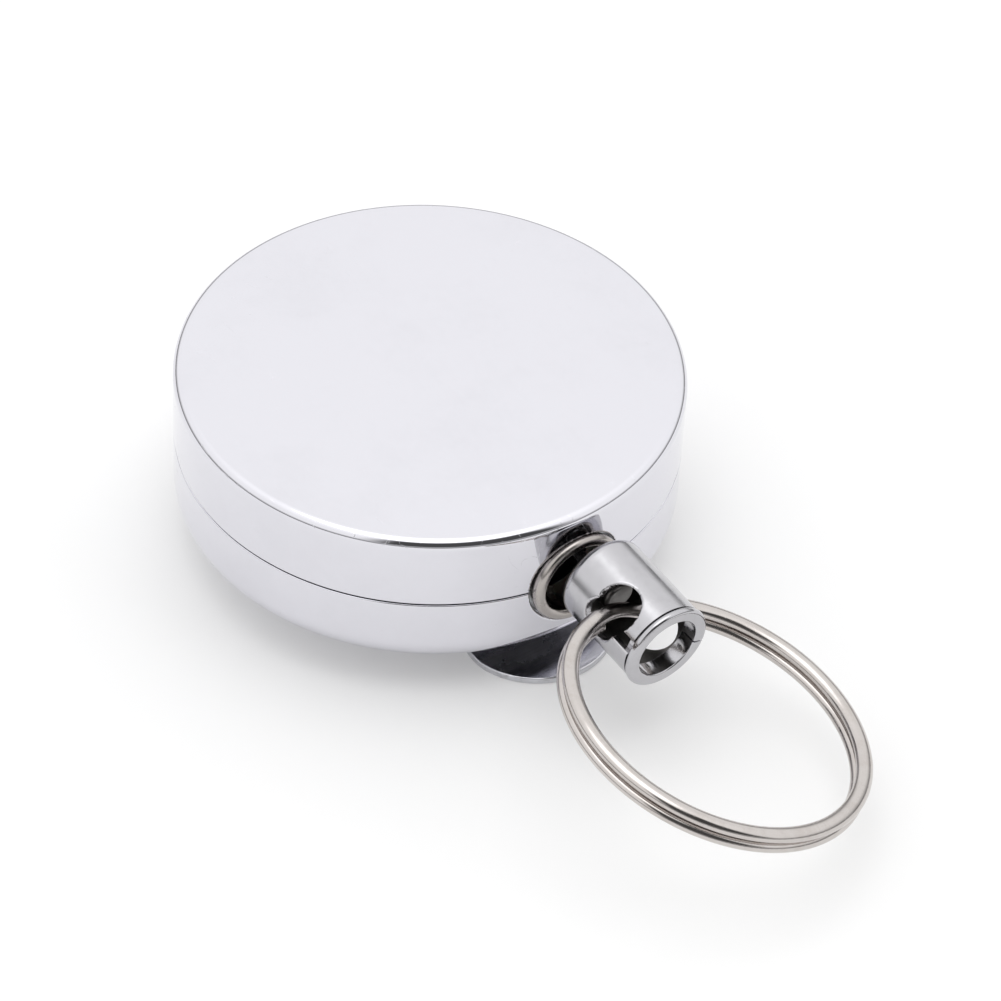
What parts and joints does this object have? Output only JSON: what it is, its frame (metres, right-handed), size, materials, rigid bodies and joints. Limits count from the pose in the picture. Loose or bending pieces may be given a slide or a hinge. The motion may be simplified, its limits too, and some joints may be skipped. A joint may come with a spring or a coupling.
{
  "type": "retractable badge reel",
  "caption": "Round metal badge reel: a sprung spool pays out a cord that ends in a tube connector and split ring; a belt clip is riveted to its back.",
  "frame": {"origin": "on the spool's axis, on the plane that the belt clip rests on", "axes": "+X the way the cord is pulled out, +Z out of the case's flat front, +Y completes the right-handed frame"},
  "size_m": [0.0699, 0.04, 0.0159],
  "materials": {
    "case_chrome": "bright chrome plate, faintly hazed and scratched",
    "connector_chrome": "satin chrome plate with fine turning lines",
    "collar_chrome": "satin chrome plate",
    "ring_nickel": "polished nickel over steel wire, warm",
    "eyelet_nickel": "satin nickel, warm",
    "clip_steel": "bright plated spring steel",
    "band_steel": "plain rolled steel",
    "post_steel": "turned steel, lightly oiled",
    "rivet_steel": "nickel-plated tubular rivets",
    "spring_steel": "blued spring strip",
    "spool_nylon": "black moulded nylon",
    "washer_nylon": "natural nylon",
    "cord_nylon": "braided black nylon cord",
    "crimp_steel": "dark crimped steel"
  },
  "bodies": {
    "case": {"front_cover": "case_chrome", "back_cover": "case_chrome", "joining_band": "band_steel", "outlet_eyelet": "eyelet_nickel", "eyelet_washer": "eyelet_nickel", "centre_post": "post_steel", "lower_washer": "washer_nylon", "upper_washer": "washer_nylon", "retaining_ring": "band_steel", "power_spring": "spring_steel", "cord_run": "cord_nylon", "clip_base": "clip_steel", "clip_rivets": "rivet_steel"},
    "spool": {"spool_drum": "spool_nylon", "spring_cover": "spool_nylon", "cord_winding": "cord_nylon", "cord_knot": "cord_nylon"},
    "cord_end": {"cord_lead": "cord_nylon", "cord_crimp": "crimp_steel"},
    "connector": {"connector_body": "connector_chrome", "connector_collar": "collar_chrome"},
    "key_ring": {"split_ring": "ring_nickel"},
    "clip_leg": {"clip_tongue": "clip_steel"}
  },
  "joints": [
    {"name": "cord_pull", "type": "slide", "parent": "case", "child": "cord_end", "axis": [1, 0, 0], "range_m": [0, 0.6], "stiffness_N_per_m": 1.67, "springref_m": -0.36},
    {"name": "spool_spin", "type": "hinge", "parent": "case", "child": "spool", "pos_m": [0, 0, 0.0095], "axis": [0, 0, -1], "range_deg": [0, 2881], "deforming": ["power_spring"]},
    {"name": "connector_swivel", "type": "hinge", "parent": "cord_end", "child": "connector", "pos_m": [0.02115, 0.00093, 0.0105], "axis": [0.997, 0.0148, -0.0758], "continuous": true},
    {"name": "ring_swing", "type": "hinge", "parent": "connector", "child": "key_ring", "pos_m": [0.02594, 0.001, 0.01014], "axis": [-0.0297, -0.9468, 0.3204], "range_deg": [-75, 100]},
    {"name": "clip_flex", "type": "hinge", "parent": "case", "child": "clip_leg", "pos_m": [-0.018, 0, 0.0028], "axis": [0, 1, 0], "range_deg": [0, 8], "stiffness_Nm_per_rad": 2.5}
  ],
  "couplings": [
    {"joint": "spool_spin", "follows": "cord_pull", "rad_per_m": 83.776}
  ]
}
